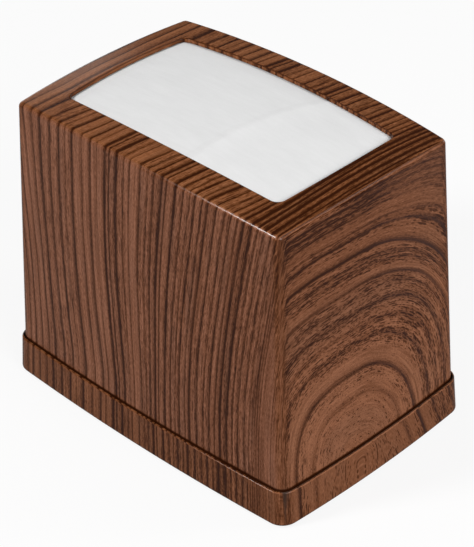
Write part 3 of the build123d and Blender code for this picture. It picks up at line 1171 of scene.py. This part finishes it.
# Lamps, aimed at the holder: name, place, diameter and power
lamps = (
    ("lamp_over", (0.0, 0.2, 1.7), 1.4, 0.4),
    ("lamp_front", (-0.60, -1.25, 1.22), 0.4, 20.0),
    ("lamp_side", (1.60, -0.30, 1.00), 1.2, 22.0),
    ("lamp_right", (1.00, 1.02, 1.18), 0.6, 5.0),
    ("lamp_back", (0.20, 1.70, 0.42), 1.0, 7.0),
    ("lamp_left", (-1.60, 0.60, 0.42), 1.0, 5.0),
)


def floor_white():
    """A floor that the camera sees as white and that lights the holder as grey."""
    material = bpy.data.materials.new("floor_white")
    material.use_nodes = True
    tree = material.node_tree
    tree.nodes.clear()
    diffuse = tree.nodes.new("ShaderNodeBsdfDiffuse")
    glow = tree.nodes.new("ShaderNodeEmission")
    glow.inputs["Strength"].default_value = 1.0
    path = tree.nodes.new("ShaderNodeLightPath")
    camera_ray = Field(tree, path.outputs["Is Camera Ray"])
    plug(diffuse.inputs["Color"], blend_colours(tree, camera_ray, floor_lit, floor_seen))
    mix = tree.nodes.new("ShaderNodeMixShader")
    plug(mix.inputs["Fac"], camera_ray * floor_glow)
    tree.links.new(diffuse.outputs[0], mix.inputs[1])
    tree.links.new(glow.outputs[0], mix.inputs[2])
    output = tree.nodes.new("ShaderNodeOutputMaterial")
    tree.links.new(mix.outputs[0], output.inputs["Surface"])
    return material


def build_stage():
    """Floor, surrounding light and lamps."""
    scene = bpy.context.scene
    scene.view_settings.view_transform = "Standard"
    mesh = bpy.data.meshes.new("floor")
    builder = bmesh.new()
    bmesh.ops.create_grid(builder, x_segments=1, y_segments=1, size=floor_half)
    builder.to_mesh(mesh)
    builder.free()
    mesh.materials.append(floor_white())
    floor = bpy.data.objects.new("floor", mesh)
    scene.collection.objects.link(floor)

    world = bpy.data.worlds.new("studio")
    scene.world = world
    world.use_nodes = True
    background = world.node_tree.nodes["Background"]
    background.inputs["Color"].default_value = (1, 1, 1, 1)
    background.inputs["Strength"].default_value = world_light

    for name, place, size, power in lamps:
        light = bpy.data.lights.new(name, "AREA")
        light.shape = "DISK"
        light.size = size
        light.energy = power
        lamp = bpy.data.objects.new(name, light)
        lamp.location = place
        lamp.rotation_mode = "QUATERNION"
        lamp.rotation_quaternion = (Vector(camera_target) - Vector(place)).to_track_quat("-Z", "Y")
        scene.collection.objects.link(lamp)


def build_camera():
    """The photograph's camera, from its direction, roll, distance and lens."""
    azimuth = math.radians(camera_azimuth)
    elevation = math.radians(camera_elevation)
    roll = math.radians(camera_roll)
    back = Vector(
        (
            math.sin(azimuth) * math.cos(elevation),
            -math.cos(azimuth) * math.cos(elevation),
            math.sin(elevation),
        )
    )
    level = Vector((math.cos(azimuth), math.sin(azimuth), 0))
    rising = back.cross(level)
    right = level * math.cos(roll) + rising * math.sin(roll)
    upward = rising * math.cos(roll) - level * math.sin(roll)
    data = bpy.data.cameras.new("camera")
    data.lens = camera_lens
    data.sensor_width = camera_sensor
    data.shift_x, data.shift_y = camera_shift
    data.clip_start, data.clip_end = camera_clip
    camera = bpy.data.objects.new("camera", data)
    turned = Matrix((right, upward, back)).transposed().to_4x4()
    camera.matrix_world = Matrix.Translation(Vector(camera_target) + back * camera_distance) @ turned
    bpy.context.scene.collection.objects.link(camera)
    bpy.context.scene.camera = camera


cover_wood = wood_print("cover_wood", True)
tray_wood = wood_print("tray_wood", False)
paper = napkin_paper()
plastic = moulded_plastic()
wire = drawn_wire()
clamp_zinc = zinc_plate("clamp_zinc", clamp_lightness)
screw_zinc = zinc_plate("screw_zinc", screw_lightness)
rubber = foot_rubber()

dress("cover", cover_wood)
dress("base_tray", tray_wood)
dress("lift_plate", plastic)
for side in ("left", "right"):
    dress(f"base_clamp_{side}", clamp_zinc)
    dress(f"plate_clamp_{side}", clamp_zinc)
    dress(f"foot_front_{side}", rubber)
    dress(f"foot_back_{side}", rubber)
    build_spring(side, wire)
dress("base_clamp_screws", screw_zinc)
dress("plate_clamp_screws", screw_zinc)
build_stack(paper)
build_top_napkin(paper)
build_stage()
build_camera()
